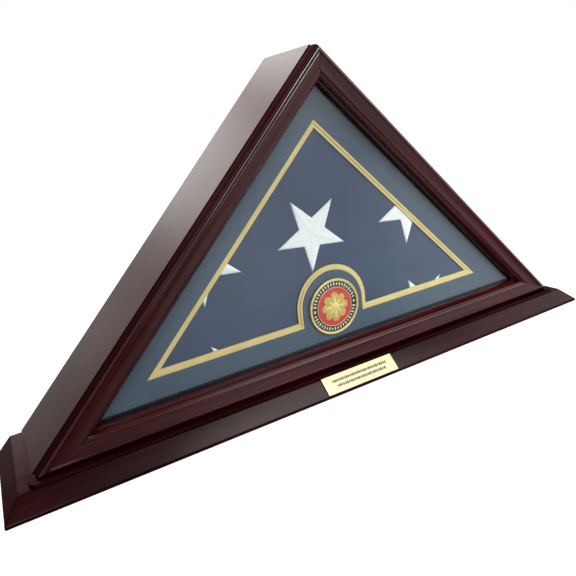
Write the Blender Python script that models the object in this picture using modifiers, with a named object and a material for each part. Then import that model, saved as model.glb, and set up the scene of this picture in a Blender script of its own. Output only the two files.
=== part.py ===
"""Folded flag display case: a triangular wooden case on a bevelled base.

Metres, +Z up.  The origin is the centre of the underside of the base; +X runs
along the base, the glazed front faces -Y and the removable back panel +Y.
The case is a right isosceles triangle, so both sloping sides stand at 45 deg.
Heights called "h" are measured from the top of the base.
"""
import bpy
import bmesh
from math import sqrt, sin, cos, tan, radians, pi
from mathutils import Matrix, Vector

MM = 0.001
S2 = sqrt(0.5)
GAP = 0.3                      # clearance kept between touching pieces

# base board -----------------------------------------------------------------
BASE_T = 17.5                  # thickness
BASE_LAND = 2.9                # square land under the bevel
BASE_HALF_BOT = 357.0          # half length at the underside
BASE_HALF_TOP = 342.0          # half length at the top
BASE_Y_FRONT_BOT = -67.25
BASE_Y_FRONT_TOP = -51.55
Y_BACK = 64.25                 # back plane of base and case

# triangular case ------------------------------------------------------------
HALF = 332.0                   # half width at the base top = height of the apex
BOARD = 16.0                   # case board thickness
Y_CASE = -30.55                # front plane of the case boards
RABBET_D = 3.7                 # depth of the rear rabbet
RABBET_W = 7.0                 # width of the rear rabbet
TIP = 1.2                      # the sharp bottom tips are cut square by this much

# front frame moulding -------------------------------------------------------
Y_FRAME = -30.85               # rear plane of the frame
FRAME_SET = 0.8                # frame stands in from the case sides
FOOT = 3.7                     # the frame stands this far above the base, on the bead
SIGHT = 24.6                   # sight edge, measured in from the outer plane
LIP = 3.0                      # glass rabbet depth
GLASS_P = 18.5                 # glass rabbet wall

# glazing, spacers, mats -----------------------------------------------------
GLASS_T = 2.4
MAT_T = 1.5
MAT_Y0 = -23.3
SPACER_Y1 = MAT_Y0 - GAP
GOLD_Y0 = MAT_Y0 + MAT_T + GAP
GOLD_T = 1.3
MAT_P = 16.4
WIN_H, WIN_APEX = 49.4, 263.7          # blue mat window: lower edge and apex
GWIN_H, GWIN_APEX = 56.2, 255.5        # gold mat window
BUMP_H, BUMP_R, GBUMP_R = 67.2, 38.6, 44.4

# medallion ------------------------------------------------------------------
MED_X, MED_H = 0.0, 65.0
MED_R, MED_RIM, MED_RED = 31.5, 2.6, 21.4

# flag -----------------------------------------------------------------------
FLAG_Y0, FLAG_Y1 = -19.8, 45.2
FLAG_H0, FLAG_SUM = 16.6, 292.5        # bottom, and x + h of the sloping faces

# back panel and turn buttons ------------------------------------------------
PANEL_T = 3.0
BUTTON_W, BUTTON_L, BUTTON_T = 8.0, 30.0, 1.2
BUTTON_P = 4.5                         # pivot, in from the outer plane
HEAD_R, HEAD_H, SHANK_R = 3.1, 1.2, 1.5

# nameplate ------------------------------------------------------------------
PLATE_W, PLATE_H, PLATE_T = 92.5, 20.0, 0.9
PLATE_X = 3.5


# ----------------------------------------------------------------------------
# scene
# ----------------------------------------------------------------------------
for o in list(bpy.data.objects):
    bpy.data.objects.remove(o, do_unlink=True)

PARTS = bpy.data.collections.new("folded_flag_display_case")
CUTTERS = bpy.data.collections.new("cutters")
bpy.context.scene.collection.children.link(PARTS)
bpy.context.scene.collection.children.link(CUTTERS)


def material(name, rgb, rough, metal=0.0, alpha=1.0):
    m = bpy.data.materials.new(name)
    m.use_nodes = True
    b = m.node_tree.nodes["Principled BSDF"]
    b.inputs["Base Color"].default_value = (rgb[0], rgb[1], rgb[2], 1.0)
    b.inputs["Roughness"].default_value = rough
    b.inputs["Metallic"].default_value = metal
    b.inputs["Alpha"].default_value = alpha
    m.diffuse_color = (rgb[0], rgb[1], rgb[2], alpha)
    return m


WOOD = (0.060, 0.016, 0.012)
BRASS = (0.72, 0.50, 0.20)


def add(name, mesh, mat=None, cutter=False, matrix=None):
    o = bpy.data.objects.new(name, mesh)
    (CUTTERS if cutter else PARTS).objects.link(o)
    if cutter:
        o.hide_render = True
        o.display_type = 'WIRE'
    if mat is not None:
        o.data.materials.append(mat)
    if matrix is not None:
        o.matrix_world = matrix
    return o


def flatten(bm):
    """Joins the coplanar triangles of the flat faces."""
    bmesh.ops.dissolve_limit(bm, angle_limit=0.0004, verts=bm.verts, edges=bm.edges)


def frozen(curve_obj, name, mat=None, cutter=False):
    """A curve made into a welded mesh object of the given name."""
    bpy.context.view_layer.update()
    dg = bpy.context.evaluated_depsgraph_get()
    me = bpy.data.meshes.new_from_object(curve_obj.evaluated_get(dg))
    mw = curve_obj.matrix_world.copy()
    bpy.data.objects.remove(curve_obj, do_unlink=True)
    bm = bmesh.new()
    bm.from_mesh(me)
    bmesh.ops.remove_doubles(bm, verts=bm.verts, dist=0.000005)
    flatten(bm)
    bmesh.ops.recalc_face_normals(bm, faces=bm.faces)
    bm.to_mesh(me)
    bm.free()
    me.name = name
    me.materials.clear()
    return add(name, me, mat, cutter, mw)


def outline(name, loops, half, matrix, mat=None, cutter=False):
    """A flat outline (the first loop) with holes (the others), extruded by
    half each way along its local Z, placed by matrix.  Loops are in mm."""
    cu = bpy.data.curves.new(name + "_outline", 'CURVE')
    cu.dimensions = '2D'
    cu.fill_mode = 'BOTH'
    cu.extrude = half * MM
    for loop in loops:
        sp = cu.splines.new('POLY')
        sp.points.add(len(loop) - 1)
        for p, (x, y) in zip(sp.points, loop):
            p.co = (x * MM, y * MM, 0.0, 1.0)
        sp.use_cyclic_u = True
    o = bpy.data.objects.new(name + "_outline", cu)
    PARTS.objects.link(o)
    o.matrix_world = matrix
    return frozen(o, name, mat, cutter)


def upright(y0, y1):
    """Places an (x, h) outline upright between the depths y0 and y1."""
    return (Matrix.Translation(Vector((0.0, (y0 + y1) * 0.5, BASE_T)) * MM)
            @ Matrix.Rotation(pi / 2, 4, 'X'))


def plate(name, loops, y0, y1, mat=None, cutter=False):
    return outline(name, loops, (y1 - y0) * 0.5, upright(y0, y1), mat, cutter)


def slice_off(obj, point, normal):
    """Cuts the mesh by a plane in world space and caps it; what lies on the
    normal's side is removed."""
    inv = obj.matrix_world.inverted()
    co = inv @ (Vector(point) * MM)
    no = (inv.to_3x3() @ Vector(normal)).normalized()
    bm = bmesh.new()
    bm.from_mesh(obj.data)
    geom = bm.verts[:] + bm.edges[:] + bm.faces[:]
    cut = bmesh.ops.bisect_plane(bm, geom=geom, dist=1e-7, plane_co=co,
                                 plane_no=no, clear_outer=True)
    edges = [e for e in cut["geom_cut"] if isinstance(e, bmesh.types.BMEdge)]
    bmesh.ops.holes_fill(bm, edges=edges, sides=0)
    bmesh.ops.remove_doubles(bm, verts=bm.verts, dist=0.000002)
    flatten(bm)
    bmesh.ops.recalc_face_normals(bm, faces=bm.faces)
    bm.to_mesh(obj.data)
    bm.free()


def subtract(obj, cutter):
    m = obj.modifiers.new("cut_" + cutter.name, 'BOOLEAN')
    m.operation = 'DIFFERENCE'
    m.solver = 'EXACT'
    m.object = cutter


def ease(obj, width, segments=2, angle=30.0):
    m = obj.modifiers.new("eased_edges", 'BEVEL')
    m.width = width * MM
    m.segments = segments
    m.limit_method = 'ANGLE'
    m.angle_limit = radians(angle)


def smooth(obj, angle=35.0):
    obj.data.shade_smooth()
    obj.data.set_sharp_from_angle(angle=radians(angle))


def arc(cx, cy, r, a0, a1, n):
    return [(cx + r * cos(radians(a0 + (a1 - a0) * i / n)),
             cy + r * sin(radians(a0 + (a1 - a0) * i / n))) for i in range(n + 1)]


def circle(cx, cy, r, n):
    return arc(cx, cy, r, 0.0, 360.0 - 360.0 / n, n - 1)


def cylinder(name, r, length, matrix, n=24, mat=None, cutter=False):
    bm = bmesh.new()
    bmesh.ops.create_cone(bm, cap_ends=True, segments=n, radius1=r * MM,
                          radius2=r * MM, depth=length * MM)
    me = bpy.data.meshes.new(name)
    bm.to_mesh(me)
    bm.free()
    return add(name, me, mat, cutter, matrix)


def at(x, y, z, rot=None):
    m = Matrix.Translation(Vector((x, y, z)) * MM)
    return m if rot is None else m @ rot


def turned(name, profile, mat=None, steps=24):
    """A solid of revolution about local Z from (r, z) points, listed from the
    top on the axis, down the outer side, to the bottom on the axis."""
    me = bpy.data.meshes.new(name)
    bm = bmesh.new()
    vs = [bm.verts.new((r * MM, 0.0, z * MM)) for r, z in profile]
    for a, b in zip(vs, vs[1:]):
        bm.edges.new((a, b))
    bm.to_mesh(me)
    bm.free()
    o = add(name, me, mat)
    m = o.modifiers.new("turned", 'SCREW')
    m.steps = m.render_steps = steps
    m.use_merge_vertices = True
    m.merge_threshold = 0.00001
    return o


def baked(obj, name, mat):
    """The object's evaluated mesh as a plain mesh, the object removed."""
    bpy.context.view_layer.update()
    dg = bpy.context.evaluated_depsgraph_get()
    me = bpy.data.meshes.new_from_object(obj.evaluated_get(dg))
    bpy.data.objects.remove(obj, do_unlink=True)
    me.name = name
    me.materials.clear()
    me.materials.append(mat)
    me.shade_smooth()
    me.set_sharp_from_angle(angle=radians(35.0))
    return me


# The bisectors of the triangle's bottom corners rise at 22.5 degrees.
BIS = radians(22.5)
MITRE = Vector((-sin(BIS), 0.0, cos(BIS)))     # normal, left corner, upwards


# ----------------------------------------------------------------------------
# base board: a slab with a wide bevel on the front and both ends
# ----------------------------------------------------------------------------
def base_board():
    bm = bmesh.new()
    bmesh.ops.create_cube(bm, size=1.0)
    for v in bm.verts:
        v.co.x *= 2 * BASE_HALF_BOT * MM
        v.co.y = (BASE_Y_FRONT_BOT if v.co.y < 0 else Y_BACK) * MM
        v.co.z = (0.0 if v.co.z < 0 else BASE_LAND) * MM
    top = [f for f in bm.faces if f.normal.z > 0.5]
    new = bmesh.ops.extrude_face_region(bm, geom=top)
    bmesh.ops.delete(bm, geom=top, context='FACES')
    for v in [g for g in new["geom"] if isinstance(g, bmesh.types.BMVert)]:
        v.co.z = BASE_T * MM
        v.co.x = (BASE_HALF_TOP if v.co.x > 0 else -BASE_HALF_TOP) * MM
        if v.co.y < 0:
            v.co.y = BASE_Y_FRONT_TOP * MM
    bmesh.ops.recalc_face_normals(bm, faces=bm.faces)
    me = bpy.data.meshes.new("base_board")
    bm.to_mesh(me)
    bm.free()
    o = add("base_board", me, material("base_wood", WOOD, 0.28))
    ease(o, 1.1, 2, 20.0)
    return o


SCREW_Y = 17.0
SCREWS_X = (-220.0, 0.0, 220.0)


def base_screws(base, bottom):
    steel = material("base_screw_steel", (0.55, 0.55, 0.56), 0.35, 1.0)
    prof = [(0.0, 27.0), (1.3, 25.4), (1.9, 22.5), (1.9, 4.6), (4.4, 1.6),
            (4.4, 1.0), (0.0, 1.0)]
    me = baked(turned("screw_blank", prof), "base_screw", steel)
    for i, x in enumerate(SCREWS_X):
        hole = cylinder("base_hole_%d" % (i + 1), 2.3, 60.0, at(x, SCREW_Y, 10.0), cutter=True)
        sink = bpy.data.meshes.new("base_sink_%d" % (i + 1))
        bm = bmesh.new()
        bmesh.ops.create_cone(bm, cap_ends=True, segments=24, radius1=7.3 * MM,
                              radius2=2.1 * MM, depth=7.5 * MM)
        bm.to_mesh(sink)
        bm.free()
        sink = add(sink.name, sink, cutter=True, matrix=at(x, SCREW_Y, 1.4))
        pilot = cylinder("bottom_hole_%d" % (i + 1), 2.3, 24.0,
                         at(x, SCREW_Y, BASE_T - 1.4), cutter=True)
        subtract(base, hole)
        subtract(base, sink)
        subtract(bottom, pilot)
        o = add("base_screw_%d" % (i + 1), me)
        o.location = Vector((x, SCREW_Y, 0.0)) * MM


# ----------------------------------------------------------------------------
# case boards, mitred at the apex and at the bottom corners
# ----------------------------------------------------------------------------
def case_boards():
    wood = material("case_wood", WOOD, 0.26)
    g = GAP * 0.5
    t2 = BOARD / S2
    inner = HALF - t2
    side_l = [(-HALF, 0.0), (0.0, HALF), (0.0, inner), (-inner + 0.0, 0.0)]
    left = plate("case_side_left", [side_l], Y_CASE, Y_BACK, wood)
    right = plate("case_side_right", [[(-x, h) for x, h in side_l]], Y_CASE, Y_BACK,
                  material("case_wood_right", WOOD, 0.26))
    bottom = plate("case_bottom", [[(-HALF, 0.3), (HALF, 0.3), (HALF, BOARD), (-HALF, BOARD)]],
                   Y_CASE, Y_BACK, material("case_wood_bottom", WOOD, 0.3))
    for s, o in ((1, left), (-1, right)):
        slice_off(o, (-s * g, 0.0, 0.0), (s, 0.0, 0.0))
        n = Vector((s * MITRE.x, 0.0, MITRE.z))
        corner = Vector((-s * HALF, 0.0, BASE_T))
        slice_off(o, corner + n * g, -n)
        slice_off(bottom, corner - n * g, n)
        for b in (o, bottom):
            slice_off(b, (-s * (HALF - TIP), 0.0, 0.0), (-s, 0.0, 0.0))
    # rear rabbet for the back panel: a triangle larger than the opening
    w = (BOARD - RABBET_W)
    lim = HALF - w / S2
    tri = [(-(lim - w), w), (lim - w, w), (0.0, lim)]
    rab = plate("rabbet_cutter", [tri], Y_BACK - RABBET_D, Y_BACK + 3.0, cutter=True)
    for o in (left, right, bottom):
        ease(o, 0.5, 1, 40.0)
        subtract(o, rab)
    return left, right, bottom


# ----------------------------------------------------------------------------
# front frame: a moulding with a round shoulder, a quirk, a face and a slope
# ----------------------------------------------------------------------------
def shoulder():
    """Outer shoulder of the moulding, from the side round to the quirk."""
    pts = [(FRAME_SET, 9.6)]
    for i in range(1, 8):
        a = radians(90.0 * i / 7)
        pts.append((FRAME_SET + 4.0 * (1 - cos(a)), 9.6 + 7.6 * sin(a)))
    return pts + [(5.7, 16.7), (6.1, 16.0), (6.35, 15.0), (6.75, 15.0), (6.95, 16.2)]


def face_and_slope():
    """Face from the quirk to the crest, then the slope to the sight edge."""
    pts = [(7.35, 16.5)]
    for i in range(1, 6):
        t = i / 6
        pts.append((7.35 + 9.9 * t, 16.5 - 1.6 * t - 0.7 * sin(pi * t)))
    pts += [(17.5, 15.05), (18.3, 15.15), (18.9, 14.8), (19.3, 14.0)]
    for i in range(1, 7):
        t = i / 6
        pts.append((19.3 + (SIGHT - 19.3) * t, 14.0 - 6.6 * t - 0.5 * sin(pi * t)))
    return pts


def frame_rails():
    wood = material("frame_wood", WOOD, 0.22)
    rear = [(SIGHT, LIP), (GLASS_P, LIP), (GLASS_P, 0.0)]
    prof = [(FRAME_SET, 0.0)] + shoulder() + face_and_slope() + rear
    prof_b = [(0.0, 0.0), (0.0, 9.0)] + shoulder() + face_and_slope() + rear
    rails = {}
    g = GAP * 0.5
    for name, n, origin, pr in (
            ("frame_rail_left", Vector((S2, 0, -S2)), (-HALF / 2, HALF / 2), prof),
            ("frame_rail_right", Vector((-S2, 0, -S2)), (HALF / 2, HALF / 2), prof),
            ("frame_rail_bottom", Vector((0, 0, 1)), (0.0, FOOT), prof_b)):
        ax_y = Vector((0, -1, 0))                  # profile depth runs forwards
        ax_z = n.cross(ax_y)
        m = Matrix((n, ax_y, ax_z)).transposed().to_4x4()
        m.translation = Vector((origin[0], Y_FRAME, BASE_T + origin[1])) * MM
        rails[name] = outline(name, [pr], 380.0, m, material(name + "_wood", WOOD, 0.22))
    # bottom corner of the moulding's own triangle
    cx = HALF - FOOT
    for s, name in ((1, "frame_rail_left"), (-1, "frame_rail_right")):
        o = rails[name]
        slice_off(o, (-s * g, 0.0, 0.0), (s, 0.0, 0.0))
        n = Vector((s * MITRE.x, 0.0, MITRE.z))
        corner = Vector((-s * cx, 0.0, BASE_T + FOOT))
        slice_off(o, corner + n * g, -n)
        slice_off(rails["frame_rail_bottom"], corner - n * g, n)
        slice_off(rails["frame_rail_bottom"], (-s * (cx - 0.8), 0.0, 0.0), (-s, 0.0, 0.0))
        slice_off(o, (-s * (cx - 0.8), 0.0, 0.0), (-s, 0.0, 0.0))
    for o in rails.values():
        smooth(o, 32.0)
    return rails


# ----------------------------------------------------------------------------
# thin bead strip between the base and the frame, round at its front corners
# ----------------------------------------------------------------------------
BEAD_HALF, BEAD_Y0, BEAD_R = 333.0, -50.95, 8.0


def foot_bead():
    z0, z1 = BASE_T + GAP, BASE_T + FOOT - GAP
    w, r = BEAD_HALF, BEAD_R
    y0, y1 = BEAD_Y0, Y_CASE - GAP
    ring = (arc(-w + r, y0 + r, r, 180, 270, 8) + arc(w - r, y0 + r, r, 270, 360, 8)
            + [(w, y1), (-w, y1)])
    o = outline("foot_bead", [ring], (z1 - z0) / 2, at(0.0, 0.0, (z0 + z1) / 2),
                material("foot_bead_wood", WOOD, 0.22))
    ease(o, 1.3, 3, 60.0)
    smooth(o, 40.0)


# ----------------------------------------------------------------------------
# triangles measured in from the outer planes
# ----------------------------------------------------------------------------
def triangle(p, h):
    s = HALF - p / S2
    return [(-(s - h), h), (s - h, h), (0.0, s)]


def window(h, apex, bump_r, n):
    """Triangular window whose lower edge rises round the medallion."""
    pts = [(-(apex - h), h), (-bump_r, h)]
    pts += arc(0.0, BUMP_H, bump_r, 180.0, 0.0, n)
    pts += [(bump_r, h), (apex - h, h), (0.0, apex)]
    return pts


def glazing_and_mats():
    y0 = Y_FRAME - LIP + GAP
    plate("glass_pane", [triangle(GLASS_P + 0.5, GLASS_P + FOOT + 0.5)], y0, y0 + GLASS_T,
          material("glass_clear", (0.75, 0.82, 0.82), 0.03, alpha=0.25))
    # dark spacer strips between glass and mat, their faces flush with the sight edge
    pi_, po = MAT_P - 0.1, SIGHT - 0.1
    s_in, s_out = HALF - po / S2, HALF - pi_ / S2
    hb = SIGHT + FOOT - 0.1
    strip = [(-(s_out - hb - GAP), hb + GAP), (-0.15, s_out - 0.15), (-0.15, s_in - 0.15),
             (-(s_in - hb - GAP), hb + GAP)]
    dark = (0.006, 0.010, 0.022)
    plate("spacer_left", [strip], Y_CASE, SPACER_Y1, material("spacer_navy_left", dark, 0.6))
    plate("spacer_right", [[(-x, h) for x, h in strip]], Y_CASE, SPACER_Y1,
          material("spacer_navy_right", dark, 0.6))
    wb = s_out - hb
    plate("spacer_bottom", [[(-(s_out - pi_), pi_), (s_out - pi_, pi_), (wb, hb), (-wb, hb)]],
          Y_CASE, SPACER_Y1, material("spacer_navy_bottom", dark, 0.6))
    outer = triangle(MAT_P, MAT_P)
    plate("mat_top", [outer, window(WIN_H, WIN_APEX, BUMP_R, 20)], MAT_Y0, MAT_Y0 + MAT_T,
          material("mat_slate_blue", (0.105, 0.160, 0.190), 0.9))
    plate("mat_gold", [outer, window(GWIN_H, GWIN_APEX, GBUMP_R, 20)], GOLD_Y0, GOLD_Y0 + GOLD_T,
          material("mat_gold_board", (0.70, 0.56, 0.22), 0.55))


# ----------------------------------------------------------------------------
# medallion on the mat: backing disc, raised rim, enamel centre, rosette
# ----------------------------------------------------------------------------
def medallion():
    y = MAT_Y0 - GAP
    n = 48
    disc_t, rim_t, red_t, ros_t = 1.5, 1.1, 0.7, 0.6
    plate("medallion_disc", [circle(MED_X, MED_H, MED_R, n)], y - disc_t, y,
          material("medallion_black", (0.012, 0.012, 0.014), 0.3))
    y -= disc_t + 0.3
    plate("medallion_rim", [circle(MED_X, MED_H, MED_R, n),
                            circle(MED_X, MED_H, MED_R - MED_RIM, n)], y - rim_t, y,
          material("medallion_rim_gold", BRASS, 0.25, 1.0))
    plate("medallion_centre", [circle(MED_X, MED_H, MED_RED, n)], y - red_t, y,
          material("medallion_red_enamel", (0.45, 0.012, 0.010), 0.2))
    y -= red_t + 0.3
    star = []
    for i in range(16):
        r = (16.0 if i % 4 == 0 else 11.0) if i % 2 == 0 else 4.6
        a = radians(90.0 + 22.5 * i)
        star.append((MED_X + r * cos(a), MED_H + r * sin(a)))
    plate("medallion_rosette", [star], y - ros_t, y,
          material("medallion_rosette_gold", BRASS, 0.25, 1.0))


# ----------------------------------------------------------------------------
# folded flag: a soft triangular packet with rounded edges
# ----------------------------------------------------------------------------
def folded_flag():
    w = FLAG_SUM - FLAG_H0
    tri = [(-w, FLAG_H0), (w, FLAG_H0), (0.0, FLAG_SUM)]
    o = plate("folded_flag", [tri], FLAG_Y0, FLAG_Y1,
              material("flag_cloth", (0.055, 0.075, 0.130), 0.9))
    ease(o, 9.0, 4, 20.0)
    smooth(o, 60.0)


# ----------------------------------------------------------------------------
# back panel, turn buttons and their screws
# ----------------------------------------------------------------------------
def back_panel():
    p = BOARD - RABBET_W + 0.5
    y0 = Y_BACK - RABBET_D + GAP
    plate("back_panel", [triangle(p, p)], y0, y0 + PANEL_T,
          material("panel_board", (0.020, 0.018, 0.018), 0.7))


BUTTONS = []                    # (outward plane normal angle, distance along the edge)
for _t in (0.30, 0.70):
    BUTTONS.append(("left", _t))
for _t in (0.30, 0.70):
    BUTTONS.append(("right", _t))
for _x in (-150.0, 150.0):
    BUTTONS.append(("bottom", _x))


def turn_buttons(left, right, bottom):
    r = BUTTON_W / 2
    far = BUTTON_L - 2 * r
    # rounded bar from the pivot along local +X, with a screw hole at the pivot
    ring = arc(0.0, 0.0, r, 90.0, 270.0, 8) + arc(far, 0.0, r, -90.0, 90.0, 8)
    y0 = Y_BACK + GAP
    zinc = material("turn_button_zinc", (0.60, 0.60, 0.58), 0.3, 1.0)
    blank = outline("button_blank", [ring, circle(0.0, 0.0, SHANK_R + 0.3, 16)],
                    BUTTON_T / 2, Matrix.Identity(4))
    me_b = baked(blank, "turn_button", zinc)
    # pan-head screw, its head towards local +Z
    hd = BUTTON_T + GAP
    prof = [(0.0, hd + HEAD_H), (HEAD_R * 0.55, hd + HEAD_H * 0.94), (HEAD_R * 0.86, hd + HEAD_H * 0.68),
            (HEAD_R, hd + HEAD_H * 0.25), (HEAD_R, hd), (SHANK_R, hd), (SHANK_R, -7.6),
            (0.5, -9.6), (0.0, -9.6)]
    blank = turned("button_screw_blank", prof, steps=20)
    slots = []
    for k, rot in enumerate((0.0, pi / 2)):
        bm = bmesh.new()
        bmesh.ops.create_cube(bm, size=1.0, matrix=Matrix.Diagonal(
            Vector((3.4, 0.8, 1.4, 1000.0)) * MM))
        sm = bpy.data.meshes.new("driver_recess_%d" % k)
        bm.to_mesh(sm)
        bm.free()
        c = add(sm.name, sm, cutter=True,
                matrix=at(0, 0, hd + HEAD_H + 0.05, Matrix.Rotation(rot, 4, 'Z')))
        subtract(blank, c)
        slots.append(c)
    me_s = baked(blank, "turn_button_screw", material("turn_screw_brass", BRASS, 0.3, 1.0))
    boards = {"left": left, "right": right, "bottom": bottom}
    for i, (edge, t) in enumerate(BUTTONS, 1):
        if edge == "bottom":
            x, h, ang = t, BUTTON_P, (0.0 if t < 0 else pi)
            px, ph = x, h
        else:
            s = -1 if edge == "left" else 1
            d = HALF - BUTTON_P / S2
            px, ph = s * d * (1 - t), d * t
            ang = pi / 4 if edge == "left" else 3 * pi / 4
        # local X along the edge, local Z out of the back (+Y)
        ex = Vector((cos(ang), 0.0, sin(ang)))
        ez = Vector((0.0, 1.0, 0.0))
        ey = ez.cross(ex)
        m = Matrix((ex, ey, ez)).transposed().to_4x4()
        mb = m.copy()
        mb.translation = Vector((px, y0 + BUTTON_T / 2, BASE_T + ph)) * MM
        add("turn_button_%d" % i, me_b, matrix=mb)
        ms = m.copy()
        ms.translation = Vector((px, y0, BASE_T + ph)) * MM
        add("turn_button_screw_%d" % i, me_s, matrix=ms)
        hole = cylinder("pilot_%d" % i, SHANK_R + 0.3, 22.0,
                        at(px, Y_BACK, BASE_T + ph, Matrix.Rotation(pi / 2, 4, 'X')), 16, cutter=True)
        subtract(boards[edge], hole)


# ----------------------------------------------------------------------------
# nameplate on the base's front bevel
# ----------------------------------------------------------------------------
def nameplate():
    dy = BASE_Y_FRONT_TOP - BASE_Y_FRONT_BOT
    dz = BASE_T - BASE_LAND
    length = sqrt(dy * dy + dz * dz)
    up = Vector((0.0, dy, dz)) / length              # up the bevel
    ex = Vector((1.0, 0.0, 0.0))
    out = ex.cross(up)                               # away from the bevel
    mid = length * 0.5 + 0.4
    m = Matrix((ex, up, out)).transposed().to_4x4()
    c = Vector((PLATE_X, BASE_Y_FRONT_BOT, BASE_LAND)) + up * mid + out * (GAP + PLATE_T / 2)
    m.translation = c * MM
    w, h, r = PLATE_W / 2, PLATE_H / 2, 0.8
    ring = (arc(w - r, h - r, r, 0, 90, 3) + arc(-w + r, h - r, r, 90, 180, 3)
            + arc(-w + r, -h + r, r, 180, 270, 3) + arc(w - r, -h + r, r, 270, 360, 3))
    outline("nameplate", [ring], PLATE_T / 2, m,
            material("nameplate_brass", (0.85, 0.68, 0.30), 0.3, 1.0))


base = base_board()
left, right, bottom = case_boards()
base_screws(base, bottom)
frame_rails()
foot_bead()
glazing_and_mats()
medallion()
folded_flag()
back_panel()
turn_buttons(left, right, bottom)
nameplate()
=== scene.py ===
"""Looks of the folded flag display case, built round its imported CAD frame.

Everything is in metres in the CAD frame: +X along the base, the glazed front
faces -Y, +Z up, origin in the middle of the base's underside.
"""
from math import acos, atan2, cos, degrees, exp, hypot, pi, radians, sin, sqrt

import bmesh
import bpy
from mathutils import Matrix, Vector, noise
from mathutils.bvhtree import BVHTree


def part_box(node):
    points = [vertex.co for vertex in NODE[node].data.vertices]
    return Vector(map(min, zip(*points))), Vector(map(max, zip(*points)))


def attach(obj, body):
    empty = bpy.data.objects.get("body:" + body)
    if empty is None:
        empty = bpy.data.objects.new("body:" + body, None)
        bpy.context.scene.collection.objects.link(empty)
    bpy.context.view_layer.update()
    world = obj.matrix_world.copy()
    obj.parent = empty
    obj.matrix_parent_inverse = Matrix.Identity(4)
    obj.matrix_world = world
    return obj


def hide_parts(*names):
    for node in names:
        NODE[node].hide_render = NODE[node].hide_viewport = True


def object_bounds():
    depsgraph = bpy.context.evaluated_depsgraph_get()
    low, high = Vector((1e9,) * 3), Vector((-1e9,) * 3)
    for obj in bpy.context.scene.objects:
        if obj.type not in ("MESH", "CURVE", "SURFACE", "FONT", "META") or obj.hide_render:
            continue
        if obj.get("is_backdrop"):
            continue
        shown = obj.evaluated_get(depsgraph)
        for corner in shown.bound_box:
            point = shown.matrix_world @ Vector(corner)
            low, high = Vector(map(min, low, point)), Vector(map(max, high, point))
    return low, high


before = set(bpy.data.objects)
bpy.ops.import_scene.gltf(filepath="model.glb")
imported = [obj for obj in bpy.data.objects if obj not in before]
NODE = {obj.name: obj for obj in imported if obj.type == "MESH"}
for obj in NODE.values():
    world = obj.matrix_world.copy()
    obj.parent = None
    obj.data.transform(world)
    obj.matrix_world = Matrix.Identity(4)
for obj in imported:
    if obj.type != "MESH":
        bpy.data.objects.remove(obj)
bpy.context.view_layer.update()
scene = bpy.context.scene

MM = 0.001
R2 = sqrt(2.0)

# The case's own dimensions in mm, as in the CAD model
BASE_T = 17.5                     # base thickness: heights h are above its top
HALF = 332.0                      # half width at the base top = apex height
Y_FRAME, FOOT = -30.85, 3.7       # rear plane and foot height of the moulding
SIGHT, LIP, GLASS_P = 24.6, 3.0, 18.5
MAT_Y0 = -23.3                    # front face of the blue mat
GOLD_Y0 = -21.5                   # front face of the gold mat
BUMP_H = 67.2
MED_X, MED_H = 0.0, 65.0
FLAG_Y0, FLAG_Y1 = -19.8, 45.2
FLAG_H0, FLAG_SUM = 16.6, 292.5


# =============================================================================
# camera
# =============================================================================
cam_data = bpy.data.cameras.new("camera")
cam_data.sensor_width = 36.0
cam_data.lens = 34.782
cam_data.shift_x = 0.0017
cam_data.shift_y = 0.0004
cam_data.clip_start = 0.01
cam = bpy.data.objects.new("camera", cam_data)
scene.collection.objects.link(cam)
axes = Matrix(((0.8667499, -0.4830190, -0.1242470),
               (0.2523383, 0.2098232, 0.9446161),
               (-0.4301977, -0.8500981, 0.3037485))).transposed()
cam.matrix_world = Matrix.Translation((-0.30342, -0.51698, 0.29367)) @ axes.to_4x4()
scene.camera = cam
scene.view_settings.view_transform = 'Standard'


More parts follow.
